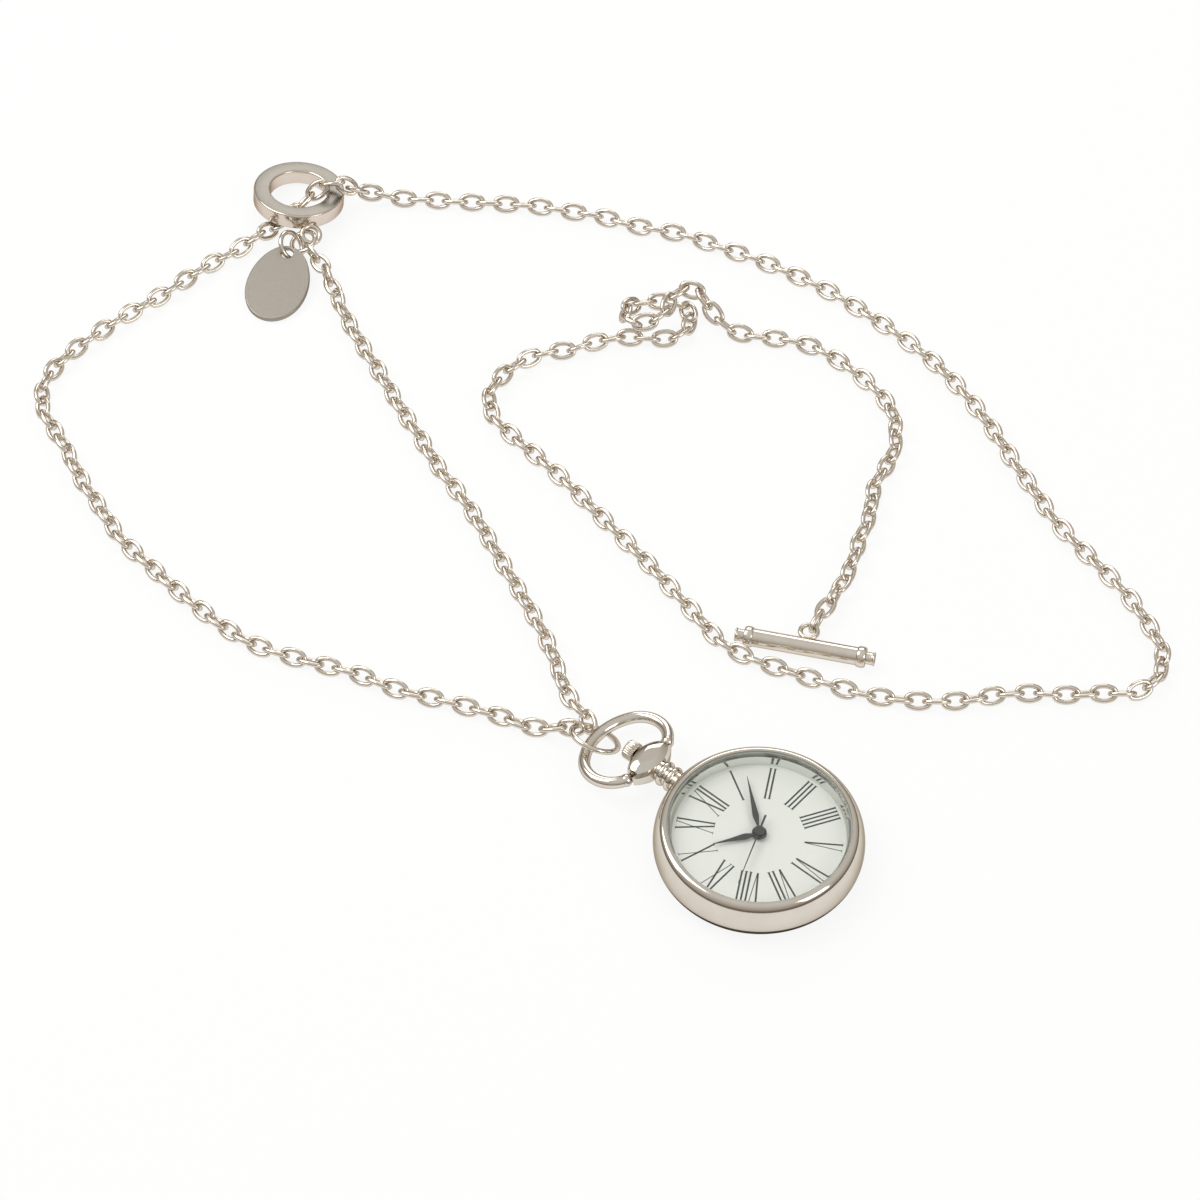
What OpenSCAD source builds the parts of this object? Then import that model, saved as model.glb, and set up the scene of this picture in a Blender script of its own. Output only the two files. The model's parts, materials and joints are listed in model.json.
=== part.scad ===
// Pendant watch on a long chain: a watch with a fixed pendant, a bow and its ring,
// an oval-link chain that runs through a toggle ring, an oval tag and a toggle bar.
// Millimetres. The origin is on the table under the middle of the case back.

/* [Watch case] */
// Direction of twelve o'clock on the table, in degrees from +X
watch_heading = 139; // [120:1:160]
// Widest diameter of the case
case_d = 38; // [36:0.5:42]
// Height of the bezel lip above the table
case_h = 8.8; // [8.6:0.1:10]
// Height of the widest line of the case
belly_z = 4; // [3.6:0.1:4.4]
// How far the bezel lip is set in from the widest line
lip_inset = 2.1; // [1.8:0.1:2.6]
// How far the flat back is set in from the widest line
back_inset = 2.6; // [2.2:0.1:3]
// Height of the seam between back and case
back_h = 1.3; // [1.2:0.1:1.5]
// Thickness of the back
back_t = 0.8; // [0.7:0.1:1]
// Thickness of the crystal
crystal_t = 0.9; // [0.7:0.1:1.1]
// Wall of the bezel outside the crystal seat
bezel_wall = 0.3; // [0.25:0.05:0.5]
// Depth from the bezel lip to the top of the dial
dial_depth = 3; // [2.6:0.1:3.2]
// Thickness of the dial
dial_t = 0.4; // [0.3:0.1:0.5]
// Width of the flange's foot on the dial
flange_foot = 0.43; // [0.3:0.01:0.8]

/* [Hands] */
// Length of the hour hand
hour_l = 8.6; // [7:0.1:10]
// Length of the minute hand
minute_l = 12.4; // [10:0.1:14]
// Length of the second hand
second_l = 12; // [10:0.1:14]
// Thickness of a hand
hand_t = 0.15; // [0.1:0.05:0.2]
// Minutes past twelve that the hands show
shown_minutes = 606.69; // [0:0.01:719.99]

/* [Pendant] */
// Height of the pendant's axis above the table
pendant_z = 4.6; // [4.4:0.1:4.8]
// Distance of the bow's pivot from the middle of the watch, beyond the case
pivot_reach = 7.4; // [7:0.1:8.5]
// Diameter of the neck
neck_d = 3.8; // [3.4:0.1:4.2]
// Diameter of the two collars on the neck
collar_d = 4.9; // [4.6:0.1:5.4]
// Thickness of a collar
collar_t = 1.4; // [1.2:0.1:1.6]
// Length of the lens-shaped head across the watch
head_l = 11.8; // [11:0.2:13]
// Width of the head along the pendant
head_w = 5.8; // [5.4:0.2:6.4]
// Height of the head
head_h = 5.2; // [4.8:0.2:5.6]
// Diameter of the fluted crown
crown_d = 3.8; // [3.4:0.1:4.4]
// Length of the fluted crown
crown_l = 2; // [1.6:0.1:2.6]
// Diameter of the setting stem
stem_d = 1; // [0.8:0.1:1.2]

/* [Bow] */
// Wire of the bow
bow_wire = 2.2; // [2:0.1:2.4]
// Half of the bow's width, to the middle of its wire
bow_half_w = 8.7; // [8.4:0.1:9.4]
// Half of the bow's depth, to the middle of its wire
bow_half_d = 6.7; // [6.4:0.1:7]
// Radius of the bow's round ends
bow_end_r = 5.7; // [5.5:0.1:5.9]
// Distance from the pivot to the middle of the bow
bow_offset = 5; // [4.8:0.1:5.2]
// How far the bow droops to the table
bow_droop = 10; // [6:1:12]
// Pivot pins of the bow
bow_pin_d = 0.9; // [0.8:0.1:1]

/* [Chain] */
// Outer length of a link
link_l = 5.45; // [5.2:0.05:5.8]
// Outer width of a link
link_w = 3.7; // [3.5:0.05:3.9]
// Wire of a link
wire = 0.88; // [0.8:0.02:0.92]
// Play of one link in the next
link_play = 0.24; // [0.2:0.01:0.32]
// Lean of the links to either side of the chain
link_lean = 45; // [40:1:50]

/* [Rings] */
// Outer diameter of the ring on the bow
bow_ring_d = 10; // [9.6:0.1:10.4]
// Wire of the ring on the bow
bow_ring_wire = 1.05; // [0.95:0.05:1.1]
// Outer diameter of the toggle ring
ring_d = 18.2; // [17.6:0.2:19]
// Hole of the toggle ring
ring_hole_d = 11.7; // [11.4:0.1:12.2]
// Thickness of the toggle ring
ring_t = 3.2; // [2.8:0.1:3.4]
// Tilt of the toggle ring, propped up by the chain under it
ring_tilt = 10; // [9:0.5:12]
// Outer diameter of the eye on the toggle ring
eye_d = 4.6; // [4.4:0.1:5]
// Outer diameter of the ring that joins the eye, the chain and the tag
joint_ring_d = 6; // [5.8:0.1:6.4]
// Outer diameter of the tag's ring
tag_ring_d = 6.6; // [6.4:0.1:7]
// Wire of the small rings
ring_wire = 0.95; // [0.85:0.05:1]

/* [Tag] */
// Length of the oval tag
tag_l = 18; // [17:0.2:19]
// Width of the oval tag
tag_w = 12.4; // [11.5:0.2:13]
// Thickness of the tag
tag_t = 1; // [0.8:0.1:1.1]
// Share by which the tag narrows towards its ring
tag_taper = 0.08; // [0:0.02:0.12]
// Hole of the tag
tag_hole_d = 2.4; // [2.2:0.1:2.8]

/* [Toggle bar] */
// Length of the toggle bar
bar_l = 26.4; // [24:0.2:28]
// Diameter of the bar
bar_d = 3.4; // [3:0.1:3.6]
// Diameter of the bar's end collars
bar_collar_d = 4; // [3.8:0.1:4.4]
// Length of an end collar
bar_collar_l = 1.7; // [1.4:0.1:2]
// Diameter of the end buttons
bar_button_d = 2.6; // [2.2:0.1:2.8]
// Length of an end button
bar_button_l = 1.7; // [1.4:0.1:2]
// Outer diameter of the bar's eye
bar_eye_d = 4.4; // [4.2:0.1:4.8]

/* [Movement] */
// Diameter of the movement
move_d = 20.8; // [19:0.2:22]
// Thickness of the movement's main plate
plate_t = 0.8; // [0.6:0.1:0.9]
// Diameter of the battery
battery_d = 7.9; // [7.5:0.1:8.5]
// Height of the battery
battery_h = 1.8; // [1.5:0.1:1.8]
// Distance of the third wheel from the middle
third_reach = 4; // [3.8:0.1:4.2]
// Distance of the minute wheel from the middle
minute_reach = 2.8; // [2.7:0.05:3]
// Radial play of a shaft in its bore
shaft_play = 0.05; // [0.03:0.01:0.07]

/* [Hidden] */
$fn = 64;

nickel = "#cfc8bc";
steel = "#c9c9c6";
brass = "#c8a951";
black = "#26261f";

// Flat gap between pieces that are slid together
fit_gap = 0.02;
// Gap between loose pieces
loose_gap = 0.15;

// Case: seats and heights worked out from the driving sizes
case_r = case_d / 2;
lip_r = case_r - lip_inset;
seat_r = lip_r - bezel_wall;
gasket_w = 0.25;
crystal_r = seat_r - gasket_w;
ledge_z = case_h - crystal_t - 0.1;
bore_r = seat_r - 0.55;
dial_z = case_h - dial_depth;
dial_r = bore_r - fit_gap;
flange_wall = 0.15;
hub_rise = 0.05;
outline_steps = 12;

// One arc of an oval, as points
function oval_arc(c, a, b, from, to, n = outline_steps) =
    [for (i = [0 : n]) let (t = from + (to - from) * i / n) c + [a * cos(t), b * sin(t)]];

// An egg-shaped outline, narrower towards +X by the given share
function egg(a, b, share) =
    [for (t = [5 : 5 : 360]) [a * cos(t), b * sin(t) * (1 - share * cos(t))]];

// Angle on the lower curve of the case at height z
lower_axis = belly_z - 0.1;
function lower_angle(z) = asin((z - belly_z) / lower_axis);

// Chain: a link's centre line is an oval of four arcs
link_a = (link_l - wire) / 2;
link_b = (link_w - wire) / 2;
pitch = link_l - 2 * wire - link_play;
chain_z = link_b * sin(max(link_lean, 90 - link_lean) + 9) + wire / 2;
link_reach = (link_l - wire - pitch) / 2;

// Long radius of a four-arc oval, and the angle where its arcs meet
function long_r(a, b, r) = (pow(a - r, 2) + b * b - r * r) / (2 * (b - r));
function meet_angle(a, b, r) = atan2(long_r(a, b, r) - b, a - r);

// Pendant and bow, along the watch's own X axis
pivot_x = case_r + pivot_reach;
head_x = pivot_x - 0.6;
crown_x = head_x + head_w / 2 + loose_gap;
bow_far = bow_offset + bow_half_d;

// Ring on the bow: its middle in the watch's axes, then on the table
hang_side = 1.4;
bow_ring_r = (bow_ring_d - bow_ring_wire) / 2;
bow_ring_tilt = 33;
bow_ring_heading = watch_heading + 91;
bow_ring_z = bow_ring_r * sin(bow_ring_tilt) + bow_ring_wire / 2;
hang_x = pivot_x + bow_far * cos(bow_droop) - 0.3;
hook = [hang_x * cos(watch_heading) - hang_side * sin(watch_heading),
    hang_x * sin(watch_heading) + hang_side * cos(watch_heading), 0];

// A place in a tilted ring's own axes, on the table: local X is the raised side
function spun(p, h) = [p.x * cos(h) - p.y * sin(h), p.x * sin(h) + p.y * cos(h), p.z];
function tipped(p, t) = [p.x * cos(t) - p.z * sin(t), p.y, p.x * sin(t) + p.z * cos(t)];
function in_ring(p, c, h, t) = c + spun(tipped(p, t), h);
function polar(r, a, z = 0) = [r * cos(a), r * sin(a), z];

bow_ring_c = hook + [0, 0, bow_ring_z];
function on_bow_ring(a) =
    in_ring(polar(bow_ring_r - bow_ring_wire / 2 - 0.35, a), bow_ring_c, bow_ring_heading, bow_ring_tilt);

// Toggle ring: it stands on its low edge, with the chain under its raised side
ring_heading = -118;
ring_c = hook + [-59.6, 136.4, ring_d / 2 * sin(ring_tilt) + ring_t / 2 * cos(ring_tilt)];
ring_mid = (ring_d + ring_hole_d) / 4;
function on_ring(r, a, z) = in_ring(polar(r, a, z), ring_c, ring_heading, ring_tilt);
// Eye, joint ring and tag ring at the toggle ring's near side
eye_r = (eye_d - ring_wire) / 2;
joint_r = (joint_ring_d - ring_wire) / 2;
tag_ring_r = (tag_ring_d - ring_wire) / 2;
eye_angle = 44;
eye_drop = 1.04;
eye_sag = 31;
joint_tilt = 22.1;
joint_heading = 6.3;
joint_c = [ring_c.x + 1.31, ring_c.y - 11.71, joint_r * sin(joint_tilt) + ring_wire / 2 + 0.51];
joint_hook_angle = -68;
joint_roll = 80;
function on_joint_ring(a) =
    in_ring(polar(joint_r - ring_wire / 2, a), joint_c, joint_heading, joint_tilt);
tag_heading = 77;
tag_rise = 7.6;
tag_c = [ring_c.x - 3.23, ring_c.y - 22.78, tag_l / 2 * sin(tag_rise) + tag_t / 2 * cos(tag_rise)];
tag_hole_x = tag_l / 2 - tag_hole_d / 2 - 0.58;
tag_ring_shift = [2.40, -0.12, -0.29];
tag_ring_turn = 1.9;
tag_ring_tilt = 48.6;

// Toggle bar: the middle of the bar and the way it points
bar_heading = -13;
bar_z = bar_collar_d / 2;
bar_mid = hook + [38.9, 22, bar_z];
bar_eye_y = bar_d / 2 + bar_eye_d / 2 - 0.35;
bar_hook = let (a = bar_heading + 69, r = bar_eye_d / 2 - ring_wire)
    bar_mid + spun([0, bar_eye_y, 0], bar_heading) + [r * cos(a), r * sin(a), 0];

// A table point of a route, measured from the ring on the bow
function on_table(x, y, z = 0) = hook + [x, y, chain_z + z];

// Long chain: from the ring on the bow, round the left loop, under and through the
// toggle ring, round the arm with its one small heap, to the link of the toggle bar
left_points = [[-7, 3.2, 0.6], [-10.5, 3.3], [-17, 6], [-27, 9.5], [-37, 12.5], [-44, 16], [-53.5, 19],
    [-63.5, 23], [-68.5, 26.5], [-73.5, 31], [-79, 36.5], [-85, 43], [-89.5, 48], [-93, 54],
    [-99.5, 65.5], [-102, 71.5], [-105, 76.5], [-107, 81], [-107.5, 84.5], [-107, 88], [-105, 92],
    [-102, 96], [-97.5, 100.5], [-95, 103], [-89.5, 107.5], [-84, 112], [-81.5, 114.5],
    [-76.5, 119], [-71, 123]];
arm_points = [[-45.5, 137.3, 2], [-42.5, 137, 0.7], [-33.5, 136.5], [-27, 136], [-20, 135.5], [-13, 135],
    [-6, 133.5], [1, 132], [7.5, 129.5], [17.5, 127], [24, 124], [33.5, 119.5], [39.5, 116],
    [45, 112.5], [53, 106], [60.5, 99], [67.5, 91], [71.5, 85], [78, 72.5], [81, 65.5], [84, 59.5],
    [87, 53], [90.5, 47.5], [97, 38.5], [100.5, 33], [103, 27.5], [105, 22.5], [105, 18], [103, 14],
    [99, 11.5], [93, 11.5], [87, 11], [80.5, 11.5], [73.5, 11], [69.5, 10], [63, 9.5], [56, 10],
    [48.5, 11.5], [42, 14], [35.4, 16.7], [28.8, 19.5], [23.2, 23.6], [18.8, 29.8], [10.5, 41.5], [2, 52.5],
    [-7, 64], [-16, 74], [-19, 77.5], [-20.5, 81], [-20.5, 85], [-18, 89.5], [-14.5, 93],
    [-9, 95.5], [-5, 96], [-0.5, 98], [6, 99.5]];
curl_points = [[11.7, 98.8], [16.4, 99.8], [18.5, 102.6], [18.9, 106.3], [16.4, 108.2], [13.1, 109.1, 0.1],
    [9.3, 107.6, 0.8], [6.6, 106.7, 1.4], [5.9, 104.1, 2.4], [6.6, 100.2, 3.4], [11.6, 100.4, 3.9],
    [14.3, 103.5, 4], [15.2, 106.3, 4.7], [19.7, 108.2, 4.7], [21.6, 105.1, 4], [23.1, 103.4, 2.7],
    [25.8, 101, 0.9]];
bar_points = [[29.5, 100], [36, 99], [42.5, 97], [47.8, 93], [53.9, 86.4], [57, 81.4], [57.9, 77.5],
    [58, 74], [57, 68.5], [55, 65], [52.8, 59.5], [52.5, 55.5], [51.5, 52], [49.5, 46.5],
    [48.5, 42.5, 0.1], [46, 36.5, 0.3], [44.5, 33.6, 0.8]];
right_points = [[-2.5, 7.5], [-5, 10.5], [-6, 14], [-8, 21], [-10.5, 27.5], [-13.5, 34],
    [-18, 43.5], [-21, 50], [-26, 59.5], [-29.5, 65], [-34.5, 75], [-37.5, 80.5], [-40.5, 87],
    [-46.5, 99], [-49.5, 105.5, 0.1], [-51.8, 112, 0.4], [-54.4, 118.4, 0.5]];
function laid(list) = [for (p = list) on_table(p.x, p.y, len(p) > 2 ? p.z : 0)];

// A smooth curve through a list of points: slopes at the points, then cubic pieces
function slope(p, i) =
    i == 0 ? (p[1] - p[0]) / norm(p[1] - p[0])
    : i == len(p) - 1 ? (p[i] - p[i - 1]) / norm(p[i] - p[i - 1])
    : let (a = norm(p[i] - p[i - 1]), b = norm(p[i + 1] - p[i]))
        ((p[i + 1] - p[i]) / b * a + (p[i] - p[i - 1]) / a * b) / (a + b);
function between(p, i, u) =
    let (h = norm(p[i + 1] - p[i]), m = slope(p, i) * h, n = slope(p, i + 1) * h)
        p[i] * (1 + 2 * u) * pow(1 - u, 2) + m * u * pow(1 - u, 2)
        + p[i + 1] * u * u * (3 - 2 * u) + n * u * u * (u - 1);
curve_steps = 10;
function curve(p) = concat([for (i = [0 : len(p) - 2], j = [0 : curve_steps - 1])
    between(p, i, j / curve_steps)], [p[len(p) - 1]]);
function distances(q) =
    [for (i = 0, s = 0; i < len(q); s = s + (i + 1 < len(q) ? norm(q[i + 1] - q[i]) : 0), i = i + 1) s];

// Contacts: points a steady step apart along a curve, where each link meets the next
function column(s, q, k) = [for (i = [0 : len(q) - 1]) [s[i], q[i][k]]];
function contacts(p) =
    let (q = curve(p), s = distances(q), total = s[len(s) - 1], n = ceil(total / pitch),
        x = column(s, q, 0), y = column(s, q, 1), z = column(s, q, 2))
        [for (i = [0 : n]) let (d = total * i / n) [lookup(d, x), lookup(d, y), lookup(d, z)]];

// Number of the contact nearest to a route point
function contact_at(p, c, k) =
    let (s = distances(curve(p))) round(s[k * curve_steps] / s[len(s) - 1] * (len(c) - 1));

// Pendant: places along the watch's own X axis and across it
bow_end_y = bow_half_w - bow_end_r + sqrt(pow(bow_end_r, 2) - pow(bow_offset, 2));
notch_y = bow_end_y - bow_wire / 2 - 0.35;
pin_end = notch_y - 1.8;
neck_end = head_x - 1.4;
collar_gap = 0.5;
stem_x = move_d / 2 - 1.6;

// Movement: radii and heights, from the dial down
arbor_r = 0.2;
tube_r = 0.45;
pipe_r = 0.85;
plate_z = dial_z - dial_t - 0.7 - plate_t;
holder_z = back_h + 1.05;
bridge_z = plate_z - 2.2;
battery_z = plate_z - 2.5;
battery_x = -6.2;
motor = [6, 4.4];
bridge_feet = [[1.2, 4.9], [-1.6, -5.6], [7.6, -1.6]];
third_angle = -45;
minute_angle = 60;
hour_z = dial_z + 0.5;
minute_z = dial_z + 0.9;
second_z = dial_z + 1.3;
shown_seconds = (shown_minutes - floor(shown_minutes)) * 60;

// Routes: the left loop ends at the rim of the toggle ring, one flat link lies under
// the rim, and the rest runs up through the hole, over the rim and away
under_heading = 41.1;
under_turn = 6.4;
rim_clear = chain_z + loose_gap;
under_mid = let (p = on_ring(ring_mid - 0.35, 0, -ring_t / 2)) [p.x, p.y, p.z / 2 - 0.09];
under_step = pitch / 2 * [cos(under_heading), sin(under_heading), 0];
before_rim = under_mid - 3 * under_step + [0, 0, 0.99];
left_route = concat([on_bow_ring(-92)], laid(left_points), [before_rim, under_mid - under_step]);
arm_route = concat([under_mid + under_step, on_ring(3.36, 103.6, 1.76),
    on_ring(ring_hole_d / 2 - 0.34, 114, ring_t / 2 + rim_clear + 0.3),
    on_ring(ring_d / 2 + 1.42, 116, ring_t / 2 + rim_clear)],
    laid([[-48.6, 136.8, 1.7]]), laid(arm_points), laid(curl_points), laid(bar_points), [bar_hook]);
left_c = contacts(left_route);
arm_c = contacts(arm_route);
main_c = concat(left_c, arm_c);
flat_link = len(left_c) - 1;
right_route = concat([on_bow_ring(-135)], laid(right_points), [on_joint_ring(joint_hook_angle)]);
right_c = contacts(right_route);

// Contacts where one run of links ends and the next begins
left_cuts = [for (k = [0, 8, 19, 25]) contact_at(left_route, left_c, k)];
arm_cuts = [for (k = [6, 13, 19, 23, 29, 36, 44, 49, 57])
    len(left_c) + contact_at(arm_route, arm_c, k)];
curl_end = len(left_c) + contact_at(arm_route, arm_c, 5 + len(arm_points) + len(curl_points));
main_cuts = concat(left_cuts, arm_cuts, [curl_end, len(main_c) - 1]);
right_cuts = [0, contact_at(right_route, right_c, 9), len(right_c) - 1];

// Lean of a link: left and right in turn with a small sway, flat under the rim of the
// toggle ring, and upright where the last link stands in the eye of the toggle bar
function lean(i) = i % 2 == 0 ? link_lean : link_lean - 90;
function sway(i) = 5 * sin(i * 67);
function near(i, k) = max(0, 1 - abs(i - k) / 5);
last_link = len(main_c) - 2;
function to_upright(k, tall) = lean(k + 1) > 0 ? tall - link_lean : tall - 180 - lean(k + 1);
function main_roll(i) = lean(i + 1) + sway(i) * (1 - near(i, flat_link)) - 15 * near(i, 0)
    - sign(lean(flat_link + 1)) * under_turn * near(i, flat_link)
    + to_upright(last_link, 90) * near(i, last_link);
last_right = len(right_c) - 2;
function right_roll(i) = lean(i + 1) + sway(i) + to_upright(last_right, joint_roll) * near(i, last_right);

module at_ring() {
    translate(ring_c)
        rotate([0, 0, ring_heading])
            rotate([0, -ring_tilt, 0])
                children();
}

module on_watch() {
    rotate([0, 0, watch_heading])
        children();
}

module at_pendant(x) {
    translate([x, 0, pendant_z])
        rotate([0, 90, 0])
            children();
}

module tube(r, r_in, z, h) {
    translate([0, 0, z])
        difference() {
            cylinder(r = r, h = h);
            translate([0, 0, -1])
                cylinder(r = r_in, h = h + 2);
        }
}

// Part of a round wire, from one angle to another
module wire_arc(r, d, from, to) {
    rotate([0, 0, from])
        rotate_extrude(angle = to - from)
            translate([r, 0])
                circle(d = d, $fn = 48);
}

module wire_ring(r, d) {
    rotate_extrude()
        translate([r, 0])
            circle(d = d, $fn = 48);
}

module link() {
    straight = link_a - link_b;
    for (turn = [0, 180])
        rotate([0, 0, turn]) {
            translate([straight, 0, 0])
                wire_arc(link_b, wire, -90, 90);
            translate([-straight, link_b, 0])
                rotate([0, 90, 0])
                    cylinder(d = wire, h = 2 * straight);
        }
}

module link_between(a, b, roll) {
    d = b - a;
    translate((a + b) / 2)
        rotate([0, -asin(d.z / norm(d)), atan2(d.y, d.x)])
            rotate([roll, 0, 0])
                link();
}

module main_run(k) {
    for (i = [main_cuts[k] : main_cuts[k + 1] - 1])
        link_between(main_c[i], main_c[i + 1], main_roll(i));
}

module right_run(k) {
    for (i = [right_cuts[k] : right_cuts[k + 1] - 1])
        link_between(right_c[i], right_c[i + 1], right_roll(i));
}

module bow_ring() {
    color(nickel)
        translate(bow_ring_c)
            rotate([0, 0, bow_ring_heading])
                rotate([0, -bow_ring_tilt, 0])
                    wire_ring(bow_ring_r, bow_ring_wire);
}

// Bow: three arcs of an oval, a ball at each end and a pin into the pendant's head
module bow() {
    far_r = long_r(bow_half_w, bow_half_d, bow_end_r);
    meet = meet_angle(bow_half_w, bow_half_d, bow_end_r);
    end_angle = -asin(bow_offset / bow_end_r);
    end_y = bow_half_w - bow_end_r + bow_end_r * cos(end_angle);
    color(steel)
        on_watch()
            translate([pivot_x, 0, pendant_z])
                rotate([0, bow_droop, 0])
                    rotate([0, 0, -90])
                        union() {
                            translate([0, bow_offset + bow_half_d - far_r, 0])
                                wire_arc(far_r, bow_wire, meet, 180 - meet);
                            for (side = [-1, 1]) {
                                translate([side * (bow_half_w - bow_end_r), bow_offset, 0])
                                    wire_arc(bow_end_r, bow_wire, side > 0 ? end_angle : 180 - meet,
                                        side > 0 ? meet : 180 - end_angle);
                                translate([side * end_y, 0, 0])
                                    sphere(d = bow_wire + 0.2);
                                translate([side * pin_end, 0, 0])
                                    rotate([0, 90 * side, 0])
                                        cylinder(d = bow_pin_d, h = end_y - pin_end);
                            }
                        }
}

module pendant_neck() {
    color(steel)
        on_watch()
            difference() {
                union() {
                    at_pendant(case_r - 0.9)
                        cylinder(d = neck_d, h = neck_end - case_r + 0.9);
                    for (x = [collar_gap, collar_gap + collar_t + 0.45])
                        at_pendant(case_r + x)
                            rotate_extrude()
                                polygon(concat([[0, 0]], oval_arc([collar_d / 2 - collar_t / 2, collar_t / 2],
                                    collar_t / 2, collar_t / 2, -90, 90), [[0, collar_t]]));
                }
                rotate_extrude()
                    polygon(case_outline(0));
                at_pendant(case_r - 2)
                    cylinder(d = stem_d + 2 * shaft_play, h = 10);
            }
}

// Head: a lens in plan, rounded over the top, notched where the bow's ends sit
module pendant_head() {
    lens_r = (pow(head_l / 2, 2) + pow(head_w / 2, 2)) / head_w;
    arch_r = 22;
    color(steel)
        on_watch()
            translate([head_x, 0, pendant_z])
                difference() {
                    intersection() {
                        for_lens(lens_r, 1);
                        for_lens(lens_r, -1);
                        for_arch(arch_r, 1);
                        for_arch(arch_r, -1);
                        rotate([90, 0, 0])
                            cylinder(r = head_w / 2 + 0.15, h = head_l + 2, center = true);
                    }
                    for (side = [-1, 1])
                        scale([1, side, 1])
                            translate([pivot_x - head_x - bow_wire / 2 - 0.25, notch_y, -5])
                                cube([10, 6, 10]);
                    rotate([90, 0, 0])
                        for_pin_bores();
                    translate([-5, 0, 0])
                        rotate([0, 90, 0])
                            cylinder(d = stem_d + 2 * shaft_play, h = 10);
                    translate([-5, 0, 0])
                        rotate([0, 90, 0])
                            cylinder(d = neck_d, h = 5 + neck_end - head_x);
                }
}

module for_lens(r, side) {
    translate([side * (r - head_w / 2), 0, -head_h])
        cylinder(r = r, h = 2 * head_h, $fn = 160);
}

module for_arch(r, side) {
    translate([-head_w, 0, side * (r - head_h / 2)])
        rotate([0, 90, 0])
            cylinder(r = r, h = 2 * head_w, $fn = 200);
}

module for_pin_bores() {
    for (side = [0, 180])
        rotate([side, 0, 0])
            translate([pivot_x - head_x, 0, pin_end - 0.2])
                cylinder(d = bow_pin_d + 2 * shaft_play, h = 8);
}

module crown() {
    flutes = 28;
    deep = 0.18;
    rim = [for (i = [0 : 2 * flutes - 1]) polar2(crown_d / 2 - (i % 2) * deep, i * 180 / flutes)];
    color(steel)
        on_watch()
            difference() {
                union() {
                    at_pendant(crown_x)
                        linear_extrude(crown_l)
                            polygon(rim);
                    at_pendant(crown_x + crown_l)
                        cylinder(r1 = crown_d / 2 - deep, r2 = crown_d / 2 - 3 * deep, h = 0.25);
                }
                at_pendant(crown_x - 1)
                    cylinder(d = stem_d, h = 2);
            }
}

module setting_stem() {
    color(steel)
        on_watch()
            difference() {
                at_pendant(stem_x)
                    cylinder(d = stem_d, h = crown_x + 1 - stem_x);
                at_pendant(stem_x + 0.8)
                    tube(stem_d, stem_d / 2 - 0.15, 0, 0.5);
            }
}

// Half outline of the case, shrunk by a gap, from the seam's height or the table up
function case_outline(z) = concat([[0, max(z, 0.1)]],
    oval_arc([case_r - back_inset, belly_z], back_inset, lower_axis, lower_angle(max(z, 0.1)), 0),
    oval_arc([lip_r, belly_z], lip_inset, case_h - belly_z, 0, 90), [[0, case_h]]);

module case_body() {
    color(steel)
        on_watch()
            difference() {
                rotate_extrude($fn = 160)
                    polygon(case_outline(back_h));
                translate([0, 0, ledge_z])
                    cylinder(r = seat_r, h = 5, $fn = 160);
                translate([0, 0, -1])
                    cylinder(r = bore_r, h = 12, $fn = 160);
                translate([0, 0, back_h - 1])
                    cylinder(r = bore_r + 0.6, h = 1.4, $fn = 160);
                at_pendant(bore_r - 3)
                    cylinder(d = stem_d + 2 * shaft_play, h = 10);
            }
}

module case_back() {
    lip = bore_r - fit_gap;
    color(steel)
        on_watch()
            rotate_extrude($fn = 160)
                polygon(concat([[0, 0], [case_r - back_inset - 0.2, 0]],
                    oval_arc([case_r - back_inset, belly_z], back_inset, lower_axis, lower_angle(0.1),
                        lower_angle(back_h), 5),
                    [[lip, back_h], [lip, back_h + 1], [lip - 0.7, back_h + 1], [lip - 0.7, back_t],
                        [0, back_t]]));
}

module back_gasket() {
    color(black)
        on_watch()
            tube(bore_r + 0.6 - fit_gap, bore_r, back_h, 0.4, $fn = 160);
}

module crystal() {
    color("#e8f0f0")
        on_watch()
            translate([0, 0, ledge_z])
                rotate_extrude($fn = 160)
                    polygon([[0, 0], [crystal_r, 0], [crystal_r, crystal_t - 0.2],
                        [crystal_r - 0.2, crystal_t], [0, crystal_t]]);
}

module crystal_gasket() {
    color("#e4e4e0")
        on_watch()
            tube(seat_r, crystal_r, ledge_z, crystal_t - 0.25, $fn = 160);
}

module dial_flange() {
    color(steel)
        on_watch()
            rotate_extrude($fn = 160)
                polygon([[dial_r - flange_foot, dial_z], [dial_r, dial_z], [dial_r, ledge_z],
                    [dial_r - flange_wall, ledge_z]]);
}

module dial() {
    color("#e9ebe6")
        on_watch()
            tube(dial_r, pipe_r + 3 * shaft_play, dial_z - dial_t, dial_t, $fn = 160);
}

module movement_holder() {
    color("#b8b8b0")
        on_watch()
            difference() {
                tube(dial_r, move_d / 2, holder_z, dial_z - dial_t - holder_z, $fn = 160);
                at_pendant(0)
                    cylinder(d = stem_d + 0.4, h = case_r);
            }
}

// One toothed outline: n teeth, m millimetres a tooth over pi
function teeth(n, m) = [for (i = [0 : n - 1], k = [0 : 3])
    let (r = m * (k == 0 || k == 3 ? n / 2 - 1.1 : n / 2 + 0.7))
        polar2(r, (i + [-0.3, -0.13, 0.13, 0.3][k]) * 360 / n)];
function polar2(r, a) = [r * cos(a), r * sin(a)];

module wheel(n, m, z, h) {
    translate([0, 0, z])
        linear_extrude(h)
            polygon(teeth(n, m));
}

module at_third() {
    rotate([0, 0, third_angle])
        translate([third_reach, 0, 0])
            rotate([0, 0, 180])
                children();
}

module at_minute() {
    rotate([0, 0, minute_angle])
        translate([minute_reach, 0, 0])
            rotate([0, 0, 180])
                children();
}

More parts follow.
